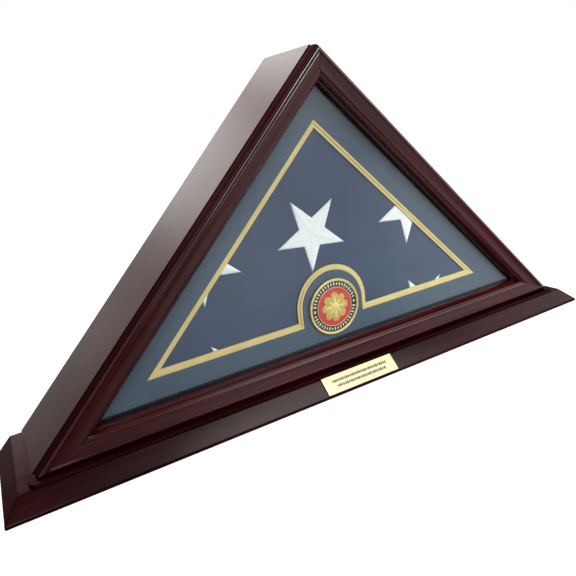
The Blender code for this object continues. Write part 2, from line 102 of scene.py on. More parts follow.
# =============================================================================
# node helpers
# =============================================================================
class Tree:
    """A small builder of node trees."""

    def __init__(self, owner):
        owner.use_nodes = True
        self.nt = owner.node_tree
        self.nt.nodes.clear()

    def new(self, kind, **props):
        n = self.nt.nodes.new(kind)
        for k, v in props.items():
            setattr(n, k, v)
        return n

    def put(self, socket, value):
        if isinstance(value, bpy.types.NodeSocket):
            self.nt.links.new(value, socket)
        elif value is not None:
            socket.default_value = value
        return socket

    def math(self, op, a, b=None, c=None, clamp=False):
        n = self.new("ShaderNodeMath", operation=op, use_clamp=clamp)
        self.put(n.inputs[0], a)
        self.put(n.inputs[1], b)
        self.put(n.inputs[2], c)
        return n.outputs[0]

    def vmath(self, op, a, b=None):
        n = self.new("ShaderNodeVectorMath", operation=op)
        self.put(n.inputs[0], a)
        self.put(n.inputs[1], b)
        return n.outputs["Value"] if op in ('DOT_PRODUCT', 'LENGTH') else n.outputs[0]

    def vec(self, x, y, z):
        n = self.new("ShaderNodeCombineXYZ")
        for s, v in zip(n.inputs, (x, y, z)):
            self.put(s, v)
        return n.outputs[0]

    def split(self, v):
        n = self.new("ShaderNodeSeparateXYZ")
        self.put(n.inputs[0], v)
        return n.outputs

    def noise(self, vec, scale=1.0, detail=2.0, rough=0.5, distort=0.0):
        n = self.new("ShaderNodeTexNoise")
        self.put(n.inputs["Vector"], vec)
        n.inputs["Scale"].default_value = scale
        n.inputs["Detail"].default_value = detail
        n.inputs["Roughness"].default_value = rough
        n.inputs["Distortion"].default_value = distort
        return n.outputs["Fac"]

    def span(self, v, a, b, c=0.0, d=1.0, smooth=False):
        n = self.new("ShaderNodeMapRange")
        n.interpolation_type = 'SMOOTHSTEP' if smooth else 'LINEAR'
        n.clamp = True
        self.put(n.inputs[0], v)
        for i, x in enumerate((a, b, c, d)):
            self.put(n.inputs[1 + i], x)
        return n.outputs[0]

    def mix(self, fac, a, b, blend='MIX'):
        n = self.new("ShaderNodeMix", data_type='RGBA', blend_type=blend)
        n.clamp_factor = True
        self.put(n.inputs[0], fac)
        self.put(n.inputs[6], a)
        self.put(n.inputs[7], b)
        return n.outputs[2]

    def bump(self, height, strength, distance, normal=None):
        n = self.new("ShaderNodeBump")
        n.inputs["Strength"].default_value = strength
        n.inputs["Distance"].default_value = distance
        self.put(n.inputs["Height"], height)
        self.put(n.inputs["Normal"], normal)
        return n.outputs[0]


def rgb(c):
    return (c[0], c[1], c[2], 1.0)


def shader(name, **sockets):
    """A material with one Principled shader; sockets are its fixed values."""
    mat = bpy.data.materials.new(name)
    t = Tree(mat)
    out = t.new("ShaderNodeOutputMaterial")
    b = t.new("ShaderNodeBsdfPrincipled")
    t.nt.links.new(b.outputs[0], out.inputs[0])
    for k, v in sockets.items():
        b.inputs[k.replace("_", " ")].default_value = v
    co = t.new("ShaderNodeTexCoord").outputs["Object"]
    return mat, t, b, co


# =============================================================================
# materials
# =============================================================================
def wood(name, grain, face, key=0.0, light=1.0, rough=0.42, coat=1.0, coat_rough=0.2,
         pore=1.0, figure=1.0, thin=None):
    """Dark red-brown stained hardwood under a clear lacquer.  grain is the
    direction of the fibres and face is square to the board's widest face.
    thin says where the lacquer is thin: "base" off the front bevel, or -1 or 1 for the outer quirk
    of that side's moulding, where the base colour is also darkened as painted shade."""
    mat, t, b, co = shader(name, Metallic=0.0, IOR=1.5)
    b.inputs["Coat Weight"].default_value = coat
    b.inputs["Coat Roughness"].default_value = coat_rough
    b.inputs["Coat IOR"].default_value = 1.5
    b.inputs["Specular IOR Level"].default_value = 0.0
    g = Vector(grain).normalized()
    f = Vector(face).normalized()
    s = g.cross(f)
    u = t.math('ADD', t.vmath('DOT_PRODUCT', co, tuple(g)), key)
    v = t.math('ADD', t.vmath('DOT_PRODUCT', co, tuple(s)), key * 0.37)
    w = t.vmath('DOT_PRODUCT', co, tuple(f))
    # the fibres wander a little along the board
    wander = t.noise(t.vec(t.math('MULTIPLY', u, 4.0), t.math('MULTIPLY', v, 14.0),
                           t.math('MULTIPLY', w, 14.0)), 1.0, 2.0)
    wv = t.math('MULTIPLY_ADD', wander, 0.010, v)
    ww = t.math('MULTIPLY_ADD', wander, 0.006, w)
    # broad figure: growth rings cut lengthways
    rings = t.noise(t.vec(t.math('MULTIPLY', u, 2.6), t.math('MULTIPLY', wv, 75.0),
                          t.math('MULTIPLY', ww, 60.0)), 1.0, 4.0, 0.62)
    rings = t.span(rings, 0.33, 0.67, 0.0, 1.0, True)
    # fine streaks about a millimetre wide
    streak = t.noise(t.vec(t.math('MULTIPLY', u, 14.0), t.math('MULTIPLY', wv, 620.0),
                           t.math('MULTIPLY', ww, 620.0)), 1.0, 3.0, 0.6)
    # open pores: short dark dashes along the grain
    pores = t.noise(t.vec(t.math('MULTIPLY', u, 110.0), t.math('MULTIPLY', wv, 2300.0),
                          t.math('MULTIPLY', ww, 2300.0)), 1.0, 2.0, 0.5)
    pores = t.span(pores, 0.60, 0.72, 0.0, 1.0, True)
    # slow colour drift of the stain
    drift = t.noise(co, 9.0, 2.0, 0.5)
    dark = tuple(light * x for x in (0.0110, 0.0011, 0.0012))
    mid = tuple(light * x for x in (0.0490, 0.0042, 0.0058))
    warm = tuple(light * x for x in (0.0820, 0.0090, 0.0085))
    fig = t.math('MULTIPLY', rings, 0.75 * figure)
    fig = t.math('ADD', fig, 0.5 * (1.0 - 0.75 * figure))
    c = t.mix(fig, rgb(dark), rgb(mid))
    c = t.mix(t.span(streak, 0.42, 0.80, 0.0, 0.55, True), c, rgb(warm))
    c = t.mix(t.span(drift, 0.35, 0.75, 0.0, 0.35, True), c, rgb(dark))
    c = t.mix(t.math('MULTIPLY', pores, 0.6 * pore), c, rgb(tuple(0.35 * x for x in dark)))
    t.put(b.inputs["Base Color"], c)
    t.put(b.inputs["Roughness"], t.span(streak, 0.2, 0.8, rough - 0.07, rough + 0.10))
    h = t.math('MULTIPLY', t.math('SUBTRACT', streak, pores), 1.0)
    t.put(b.inputs["Normal"], t.bump(h, 0.30 * pore, 0.00010))
    # the lacquer follows the pores faintly and has a slight orange peel
    peel = t.noise(co, 420.0, 2.0, 0.5)
    skin = t.math('MULTIPLY_ADD', pores, -0.5 * pore, t.math('MULTIPLY', peel, 0.5))
    skin = t.math('MULTIPLY_ADD', streak, 0.5 * pore, skin)
    t.put(b.inputs["Coat Normal"], t.bump(skin, 0.22 * pore, 0.00008))
    if thin == "base":
        nx, ny, _ = t.split(t.new("ShaderNodeNewGeometry").outputs["Normal"])
        ny = t.math('MULTIPLY', ny, -1.0)
        arris = t.math('MINIMUM', t.math('ABSOLUTE', nx), ny)         # the mitred corners
        t.put(b.inputs["Coat Weight"], t.math('MULTIPLY', t.span(ny, 0.62, 0.67, 0.30, 0.80), t.math(
            'MULTIPLY', t.span(arris, 0.06, 0.15, 1.0, 0.08), t.span(ny, 0.69, 0.73, 1.0, 0.12))))
    elif thin is not None:
        x, _, z = t.split(co)
        p = t.math('ADD', t.math('MULTIPLY', x, -thin), t.math('MULTIPLY', z, -1.0))
        p = t.math('MULTIPLY', t.math('ADD', p, (HALF + BASE_T) * MM), 1 / (R2 * MM))
        t.put(b.inputs["Coat Weight"], t.span(p, 1.5, 1.8, 0.04, 1.0))
        # painted shade: the base colour is darkened to half on the moulding's outer side and quirk
        deep = t.new("ShaderNodeVectorMath", operation='SCALE')
        t.put(deep.inputs[0], c)
        deep.inputs[3].default_value = 0.50
        t.put(b.inputs["Base Color"], t.mix(t.span(p, 1.4, 1.9, 0.0, 1.0), deep.outputs[0], c))
    return mat


def mat_board(name, color, spread, rough=0.9, fleck=None):
    """Matboard: short felted paper fibres, a faint mottle."""
    mat, t, b, co = shader(name, Metallic=0.0, Roughness=rough)
    b.inputs["Specular IOR Level"].default_value = 0.25
    fibre = t.noise(co, 1500.0, 3.0, 0.65, 1.2)
    mottle = t.noise(co, 46.0, 3.0, 0.55)
    c = t.mix(t.span(mottle, 0.3, 0.7), rgb(tuple(x * (1 - spread) for x in color)),
              rgb(tuple(x * (1 + spread) for x in color)))
    c = t.mix(t.span(fibre, 0.52, 0.78, 0.0, 0.10), c,
              rgb(fleck or tuple(min(1.0, x * 1.7) for x in color)))
    t.put(b.inputs["Base Color"], c)
    t.put(b.inputs["Roughness"], t.span(fibre, 0.3, 0.7, rough - 0.08, rough))
    t.put(b.inputs["Normal"], t.bump(fibre, 0.05, 0.00003))
    return mat


def metal(name, color, rough, brush=None, stain=None, amount=0.3, grain=1.0, metallic=1.0):
    """Metal with fine brush marks along a direction, or a satin tumble."""
    mat, t, b, co = shader(name, Metallic=metallic)
    if brush is not None:
        g = Vector(brush).normalized()
        f = Vector((0, 0, 1)) if abs(g.z) < 0.7 else Vector((1, 0, 0))
        s = g.cross(f).normalized()
        f = s.cross(g)
        lines = t.noise(t.vec(t.math('MULTIPLY', t.vmath('DOT_PRODUCT', co, tuple(g)), 60.0),
                              t.math('MULTIPLY', t.vmath('DOT_PRODUCT', co, tuple(s)), 5200.0),
                              t.math('MULTIPLY', t.vmath('DOT_PRODUCT', co, tuple(f)), 5200.0)),
                        1.0, 2.0, 0.6)
    else:
        lines = t.noise(co, 2600.0, 3.0, 0.6)
    cloud = t.noise(co, 120.0, 3.0, 0.6)
    c = t.mix(t.span(lines, 0.3, 0.7, 0.0, 1.0), rgb(tuple(0.93 * x for x in color)), rgb(color))
    if stain is not None:
        c = t.mix(t.span(cloud, 0.52, 0.78, 0.0, amount, True), c, rgb(stain))
    t.put(b.inputs["Base Color"], c)
    t.put(b.inputs["Roughness"], t.span(t.math('ADD', lines, cloud), 0.6, 1.4,
                                        rough - 0.06, rough + 0.08))
    t.put(b.inputs["Normal"], t.bump(lines, 0.16 * grain, 0.00004))
    return mat


def enamel(name, color, rough=0.14, coat=0.6):
    """Hard glossy enamel, very slightly uneven."""
    mat, t, b, co = shader(name, Metallic=0.0, Roughness=0.35)
    b.inputs["Coat Weight"].default_value = coat
    b.inputs["Coat Roughness"].default_value = rough
    cloud = t.noise(co, 260.0, 3.0, 0.6)
    t.put(b.inputs["Base Color"], t.mix(t.span(cloud, 0.3, 0.7),
                                        rgb(tuple(0.86 * x for x in color)), rgb(color)))
    t.put(b.inputs["Roughness"], t.span(cloud, 0.3, 0.7, 0.30, 0.42))
    t.put(b.inputs["Coat Normal"], t.bump(t.noise(co, 300.0, 1.0), 0.10, 0.00008))
    return mat


def cloth(name, color, light, period=0.00062, sheen=0.25, slub=1.0):
    """Plain woven cotton: threads over and under along X and the height, with
    uneven yarns and a soft sheen.  It uses object coordinates."""
    mat, t, b, co = shader(name, Metallic=0.0, Roughness=0.85)
    b.inputs["Specular IOR Level"].default_value = 0.2
    b.inputs["Sheen Weight"].default_value = sheen
    b.inputs["Sheen Roughness"].default_value = 0.45
    b.inputs["Sheen Tint"].default_value = (0.55, 0.65, 0.85, 1.0)
    x, y, z = t.split(co)
    warpn = t.noise(co, 160.0, 2.0, 0.5)
    k = 2 * pi / period
    wx = t.math('SINE', t.math('MULTIPLY_ADD', warpn, 1.6, t.math('MULTIPLY', x, k)))
    wz = t.math('SINE', t.math('MULTIPLY_ADD', warpn, 1.3, t.math('MULTIPLY', z, k)))
    weave = t.math('MULTIPLY', wx, wz)
    yarn_x = t.noise(t.vec(t.math('MULTIPLY', x, 1600.0), 0.0, t.math('MULTIPLY', z, 30.0)),
                     1.0, 1.0)
    yarn_z = t.noise(t.vec(t.math('MULTIPLY', x, 30.0), 0.0, t.math('MULTIPLY', z, 1600.0)),
                     1.0, 1.0)
    yarn = t.math('ADD', yarn_x, yarn_z)
    cloud = t.noise(co, 22.0, 3.0, 0.55)
    c = t.mix(t.span(yarn, 0.7, 1.35, 0.0, 0.8 * slub), rgb(color), rgb(light))
    # painted shade: the low points of the weave between the threads are darkened
    c = t.mix(t.span(weave, -1.0, 1.0, 0.35, 0.0), c, rgb(tuple(0.45 * v for v in color)))
    c = t.mix(t.span(cloud, 0.3, 0.75, 0.0, 0.35, True), c, rgb(light))
    t.put(b.inputs["Base Color"], c)
    t.put(b.inputs["Roughness"], t.span(yarn, 0.6, 1.4, 0.78, 0.95))
    h = t.math('MULTIPLY_ADD', yarn, 0.8, weave)
    t.put(b.inputs["Normal"], t.bump(h, 0.35, 0.00012))
    return mat


def stitched(name):
    """White satin-stitch embroidery: thread ridges across each arm.  The UV map
    holds metres along and across the arm."""
    mat, t, b, co = shader(name, Metallic=0.0, Roughness=0.5)
    b.inputs["Sheen Weight"].default_value = 0.2
    b.inputs["Sheen Roughness"].default_value = 0.35
    b.inputs["Specular IOR Level"].default_value = 0.35
    uvn = t.new("ShaderNodeUVMap", uv_map="stitch")
    u, v, _ = t.split(uvn.outputs[0])
    jitter = t.noise(co, 380.0, 2.0, 0.6)
    slant = t.math('MULTIPLY_ADD', t.math('ABSOLUTE', v), 0.55, u)
    ridge = t.math('SINE', t.math('MULTIPLY_ADD', jitter, 2.2,
                                  t.math('MULTIPLY', slant, 2 * pi / 0.00075)))
    patch = t.noise(co, 150.0, 3.0, 0.65)
    # painted shade: the grooves between the stitch ridges are darkened
    c = t.mix(t.span(ridge, -1.0, 0.4, 0.30, 0.0, True), rgb((0.86, 0.875, 0.88)),
              rgb((0.52, 0.56, 0.60)))
    c = t.mix(t.span(patch, 0.42, 0.72, 0.0, 0.22, True), c, rgb((0.60, 0.64, 0.69)))
    t.put(b.inputs["Base Color"], c)
    t.put(b.inputs["Roughness"], t.span(patch, 0.3, 0.7, 0.45, 0.62))
    t.put(b.inputs["Normal"], t.bump(t.math('MULTIPLY_ADD', patch, 1.2, ridge), 0.30, 0.00016))
    return mat


def fibreboard(name, face_color, speck, rough=0.6):
    """Thin hardboard with a painted back, a few scuffs and a fine tooth."""
    mat, t, b, co = shader(name, Metallic=0.0, Roughness=rough)
    tooth = t.noise(co, 900.0, 3.0, 0.6)
    scuff = t.noise(t.vec(t.math('MULTIPLY', t.split(co)[0], 14.0), 0.0,
                          t.math('MULTIPLY', t.split(co)[2], 90.0)), 1.0, 4.0, 0.7)
    c = t.mix(t.span(tooth, 0.35, 0.7), rgb(face_color), rgb(tuple(1.5 * x for x in face_color)))
    c = t.mix(t.span(scuff, 0.62, 0.78, 0.0, 0.35, True), c, rgb(speck))
    t.put(b.inputs["Base Color"], c)
    t.put(b.inputs["Roughness"], t.span(tooth, 0.3, 0.7, rough - 0.1, rough + 0.08))
    t.put(b.inputs["Normal"], t.bump(tooth, 0.3, 0.00010))
    return mat


def glass(name):
    """Clear low-reflection picture glass.  Light from the lamps and to the cloth behind passes
    straight through; the eye sees the pane with its reflections."""
    mat, t, b, co = shader(name, Metallic=0.0, Roughness=0.0, IOR=1.5)
    b.inputs["Transmission Weight"].default_value = 1.0
    b.inputs["Specular IOR Level"].default_value = 0.12
    film = t.noise(co, 14.0, 3.0, 0.6)
    t.put(b.inputs["Base Color"], t.mix(t.span(film, 0.3, 0.7), rgb((0.955, 0.985, 0.975)),
                                        rgb((0.975, 0.99, 0.985))))
    clear = t.new("ShaderNodeBsdfTransparent")
    clear.inputs[0].default_value = (0.93, 0.95, 0.945, 1.0)
    path = t.new("ShaderNodeLightPath")
    passing = t.math('MAXIMUM', path.outputs["Is Shadow Ray"], path.outputs["Is Diffuse Ray"])
    m = t.new("ShaderNodeMixShader")
    t.put(m.inputs[0], passing)
    t.nt.links.new(b.outputs[0], m.inputs[1])
    t.nt.links.new(clear.outputs[0], m.inputs[2])
    out = [n for n in t.nt.nodes if n.type == 'OUTPUT_MATERIAL'][0]
    t.nt.links.new(m.outputs[0], out.inputs[0])
    return mat


M = {
    "base": wood("base_wood_lacquered", (1, 0, 0), (0, 0, 1), 0.11, light=0.60, coat_rough=0.13,
                 pore=0.8, figure=0.9, thin="base"),
    "side_l": wood("case_wood_left", (1, 0, 1), (-1, 0, 1), 0.31, coat_rough=0.22, figure=0.8),
    "side_r": wood("case_wood_right", (-1, 0, 1), (1, 0, 1), 0.73, coat_rough=0.22, figure=0.8),
    "bottom": wood("case_wood_bottom", (1, 0, 0), (0, 0, 1), 0.47, coat_rough=0.24),
    "rail_l": wood("moulding_wood_left", (1, 0, 1), (0, 1, 0), 1.13, coat_rough=0.08, figure=0.45,
                   pore=0.7, thin=-1),
    "rail_r": wood("moulding_wood_right", (-1, 0, 1), (0, 1, 0), 1.57, coat_rough=0.08,
                   figure=0.45, pore=0.7, thin=1),
    "rail_b": wood("moulding_wood_bottom", (1, 0, 0), (0, 1, 0), 1.91, coat_rough=0.08,
                   figure=0.45, pore=0.7),
    "bead": wood("bead_wood", (1, 0, 0), (0, 0, 1), 2.3, light=0.50, coat=0.16,
                 coat_rough=0.18, pore=0.7),
    "glass": glass("glass_clear"),
    "spacer": mat_board("spacer_navy", (0.0012, 0.0026, 0.0062), 0.2, 0.85,
                        (0.0030, 0.0055, 0.0110)),
    "mat": mat_board("mat_slate_blue", (0.054, 0.083, 0.121), 0.05),
    "gold": mat_board("mat_gold_foil", (0.62, 0.49, 0.205), 0.06, 0.5, (0.85, 0.74, 0.42)),
    "black": enamel("enamel_black", (0.006, 0.010, 0.010)),
    "red": enamel("enamel_red", (0.60, 0.022, 0.030)),
    "cream": enamel("enamel_cream", (0.80, 0.74, 0.56), 0.3, 0.2),
    "gilt": metal("medallion_gilt", (0.90, 0.74, 0.28), 0.32, None, (0.62, 0.42, 0.10), 0.3, 1.0,
                  0.35),
    "gilt_deep": metal("medallion_gilt_deep", (0.66, 0.46, 0.12), 0.36, None,
                       (0.38, 0.22, 0.05), 0.4, 1.0, 0.35),
    "brass": metal("nameplate_brass", (0.98, 0.90, 0.55), 0.34, (1, 0, 0),
                   (0.80, 0.66, 0.34), 0.22),
    "ink": enamel("engraving_fill", (0.030, 0.020, 0.012), 0.4, 0.1),
    "flag": cloth("flag_navy_cotton", (0.030, 0.050, 0.100), (0.056, 0.083, 0.150)),
    "star": stitched("star_embroidery"),
    "panel": fibreboard("back_panel_hardboard", (0.012, 0.011, 0.011), (0.055, 0.050, 0.046)),
    "zinc": metal("turn_button_zinc", (0.62, 0.61, 0.57), 0.34, (1, 0, 1),
                  (0.30, 0.28, 0.24), 0.5),
    "screw_brass": metal("screw_brass", (0.80, 0.58, 0.25), 0.30, None, (0.36, 0.22, 0.08), 0.5),
    "steel": metal("screw_steel", (0.56, 0.56, 0.57), 0.30, None, (0.25, 0.23, 0.21), 0.45),
}


# =============================================================================
# mesh helpers
# =============================================================================
def mesh_object(name, verts, faces, mat, sharp=38.0, outward=True):
    """A mesh object from computed vertices in mm (heights from the base top
    have BASE_T added by the caller)."""
    me = bpy.data.meshes.new(name)
    me.from_pydata([(x * MM, y * MM, z * MM) for x, y, z in verts], [], faces)
    me.validate()
    if outward:
        bm = bmesh.new()
        bm.from_mesh(me)
        bmesh.ops.recalc_face_normals(bm, faces=bm.faces)
        bm.to_mesh(me)
        bm.free()
    me.shade_smooth()
    me.set_sharp_from_angle(angle=radians(sharp))
    me.materials.append(mat)
    o = bpy.data.objects.new(name, me)
    scene.collection.objects.link(o)
    return o


def dress(node, mat, arris=0.0, segments=2, angle=35.0):
    """Gives a CAD node its material, welded smooth shading and, where arris is
    above 0 (mm), eased edges."""
    o = NODE[node]
    me = o.data
    for a in ("custom_normal", "sharp_edge"):
        if a in me.attributes:
            me.attributes.remove(me.attributes[a])
    me.shade_smooth()
    me.materials.clear()
    me.materials.append(mat)
    w = o.modifiers.new("weld", 'WELD')
    w.merge_threshold = 0.00001
    d = o.modifiers.new("planar", 'DECIMATE')
    d.decimate_type = 'DISSOLVE'
    d.angle_limit = radians(0.4)
    if arris > 0:
        b = o.modifiers.new("arris", 'BEVEL')
        b.width = arris * MM
        b.segments = segments
        b.limit_method = 'ANGLE'
        b.angle_limit = radians(angle)
        b.use_clamp_overlap = True
    else:
        e = o.modifiers.new("split", 'EDGE_SPLIT')
        e.split_angle = radians(angle)
    n = o.modifiers.new("normals", 'WEIGHTED_NORMAL')
    n.keep_sharp = True
    return o


def add_ring(faces, a, b, count, closed=True):
    """Quads between two rings of the same count that start at a and b."""
    for i in range(count if closed else count - 1):
        j = (i + 1) % count
        faces.append((a + i, a + j, b + j, b + i))


# =============================================================================
# case, base and glazing: CAD nodes with their finish
# =============================================================================
dress("base_board", M["base"], 0.0, angle=50.0)
dress("case_side_left", M["side_l"], 0.9, 3, 40.0)
dress("case_side_right", M["side_r"], 0.9, 3, 40.0)
dress("case_bottom", M["bottom"], 0.3, 1, 40.0)
dress("foot_bead", M["bead"], 0.0, angle=50.0)
dress("glass_pane", M["glass"], 0.25, 1, 40.0)
for part in ("left", "right", "bottom"):
    dress("spacer_" + part, M["spacer"], 0.2, 1, 40.0)
dress("mat_top", M["mat"], 0.25, 2, 50.0)
dress("mat_gold", M["gold"], 0.25, 2, 50.0)
dress("back_panel", M["panel"], 0.4, 2, 40.0)
for i in range(1, 7):
    dress("turn_button_%d" % i, M["zinc"], 0.25, 2, 40.0)


# ---------------------------------------------------------------- moulded frame
def moulding():
    """Profile of the front moulding: p inward from the outer plane, d forwards
    from the rear plane.  An outer side with a fine step, a round crest between
    two quirks, a broad and slightly hollow face, a round edge, a step and the slope down to
    the sight edge."""
    pts = [(0.8, 0.0), (0.85, 8.4), (1.15, 8.7), (1.2, 9.2), (1.0, 9.5), (1.3, 12.4),
           (1.75, 12.75), (1.84, 13.33)]
    for i in range(0, 16):
        a = radians(82.0 * (1 - i / 15))
        pts.append((5.57 - 3.73 * sin(a), 13.2 + 3.73 * cos(a)))
    pts += [(6.0, 16.86), (6.3, 16.66), (6.5, 16.32), (6.6, 16.05), (6.7, 15.99), (6.82, 16.05),
            (7.0, 16.17)]
    for i in range(1, 11):
        t = i / 10
        pts.append((7.0 + 9.2 * t, 16.17 - 1.2 * t - 0.22 * sin(pi * t)))
    pts += [(16.55, 14.96), (16.9, 14.97), (17.2, 14.96), (17.5, 14.88), (17.8, 14.75),
            (18.4, 14.42), (19.0, 14.02), (19.35, 13.7), (19.55, 13.42),
            (19.8, 13.15), (20.15, 13.0), (20.6, 12.94), (21.0, 12.82), (21.3, 12.5),
            (21.5, 12.1)]
    for i in range(1, 11):
        t = i / 10
        pts.append((21.5 + (SIGHT - 0.35 - 21.5) * t, 12.1 - 4.4 * t - 0.30 * sin(pi * t)))
    pts += [(SIGHT - 0.1, 7.45), (SIGHT, 7.1), (SIGHT, LIP), (GLASS_P, LIP), (GLASS_P, 0.0)]
    return pts


def frame_rail(name, side, mat):
    prof = moulding()
    if side == 0:
        prof = [(0.0, 0.0), (0.0, 8.6), (0.25, 9.1), (1.0, 10.2)] + prof[6:]
    g = 0.15
    sb, cb = sin(radians(22.5)), cos(radians(22.5))
    ends = []
    for which in (0, 1):
        ring = []
        for p, d in prof:
            y = Y_FRAME - d
            if side == 0:                                   # bottom rail
                sx = -1 if which == 0 else 1
                pm = max(p, 1.35) if d < 12.6 else p
                x = HALF - pm * R2 - FOOT - pm - g / sb
                x = min(x, HALF - FOOT - 0.8)
                ring.append((sx * x, y, FOOT + p + BASE_T))
            elif which == 0:                                # lower end of a side rail
                x = HALF - p * R2 - FOOT - p - g / sb * 0.4
                h = FOOT + p + g / cb * 1.2
                x = HALF - p * R2 - h
                lim = HALF - FOOT - 0.8
                if x > lim:
                    x, h = lim, HALF - p * R2 - lim
                ring.append((side * x, y, h + BASE_T))
            else:                                           # apex end
                ring.append((side * g, y, HALF - p * R2 - g + BASE_T))
        ends.append(ring)
    stations = 25
    verts, faces = [], []
    n = len(prof)
    for k in range(stations):
        f = k / (stations - 1)
        for a, b in zip(ends[0], ends[1]):
            verts.append(tuple(a[i] + (b[i] - a[i]) * f for i in range(3)))
    for k in range(stations - 1):
        add_ring(faces, k * n, (k + 1) * n, n)
    faces.append(tuple(range(n)))
    faces.append(tuple(range((stations - 1) * n, stations * n)))
    o = mesh_object(name, verts, faces, mat, 42.0)
    return o


for part, side in (("left", -1), ("right", 1), ("bottom", 0)):
    o = frame_rail("moulding_" + part, side,
                   M["rail_l" if side < 0 else "rail_r" if side > 0 else "rail_b"])
    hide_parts("frame_rail_" + part)
    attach(o, "case")


# ---------------------------------------------------------------- gold fillet of the mat
def window(t, n=48):
    """The mat window's outline between the blue mat's (t = 0) and the gold
    mat's (t = 1)."""
    h = 49.4 + 6.8 * t
    apex = 263.7 - 8.2 * t
    r = 38.6 + 5.8 * t
    pts = [(-(apex - h), h), (-r, h)]
    pts += [(r * cos(pi - pi * i / n), BUMP_H + r * sin(pi - pi * i / n)) for i in range(n + 1)]
    return pts + [(r, h), (apex - h, h), (0.0, apex)]


def gold_fillet():
    prof = [(0.02, GOLD_Y0 - 0.05), (0.02, GOLD_Y0 - 0.95), (0.05, GOLD_Y0 - 1.0),
            (0.40, GOLD_Y0 - 1.0), (0.44, GOLD_Y0 - 0.95), (0.57, GOLD_Y0 - 0.05)]
    verts, faces = [], []
    n = len(window(0.0))
    for t, y in prof:
        verts += [(x, y, h + BASE_T) for x, h in window(t)]
    for i in range(len(prof)):
        add_ring(faces, i * n, ((i + 1) % len(prof)) * n, n)
    o = mesh_object("mat_gold_fillet", verts, faces, M["gold"], 30.0)
    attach(o, "case")


gold_fillet()


# =============================================================================
# medallion
# =============================================================================
def turned_ring(name, prof, mat, cx, ch, steps=128, sharp=40.0, y_front=0.0):
    """A ring turned about the medallion's axis.  prof lists (radius, how far
    it stands forward of y_front) round a closed section."""
    verts, faces = [], []
    n = len(prof)
    for k in range(steps):
        a = 2 * pi * k / steps
        for r, d in prof:
            verts.append((cx + r * cos(a), y_front - d, ch + BASE_T + r * sin(a)))
    for k in range(steps):
        j = (k + 1) % steps
        for i in range(n):
            i2 = (i + 1) % n
            faces.append((k * n + i, k * n + i2, j * n + i2, j * n + i))
    return mesh_object(name, verts, faces, mat, sharp)


def dome(name, radius, prof, mat, cx, ch, y_front, steps=96, petals=None):
    """A closed relief on a polar grid.  prof(r, a) gives the height at r from 0
    to 1 and the outline is radius(a)."""
    rings = 26
    verts, faces = [(cx, y_front - prof(0.0, 0.0), ch + BASE_T)], []
    for i in range(1, rings + 1):
        f = i / rings
        for k in range(steps):
            a = 2 * pi * k / steps
            r = radius(a) * f
            verts.append((cx + r * cos(a), y_front - prof(f, a), ch + BASE_T + r * sin(a)))
    for k in range(steps):
        faces.append((0, 1 + k, 1 + (k + 1) % steps))
    for i in range(rings - 1):
        add_ring(faces, 1 + i * steps, 1 + (i + 1) * steps, steps)
    last = 1 + (rings - 1) * steps
    base = len(verts)
    verts += [(x, y_front, z) for x, _, z in verts[last:last + steps]]
    add_ring(faces, last, base, steps)
    faces.append(tuple(range(base, base + steps)))
    return mesh_object(name, verts, faces, mat, 50.0)


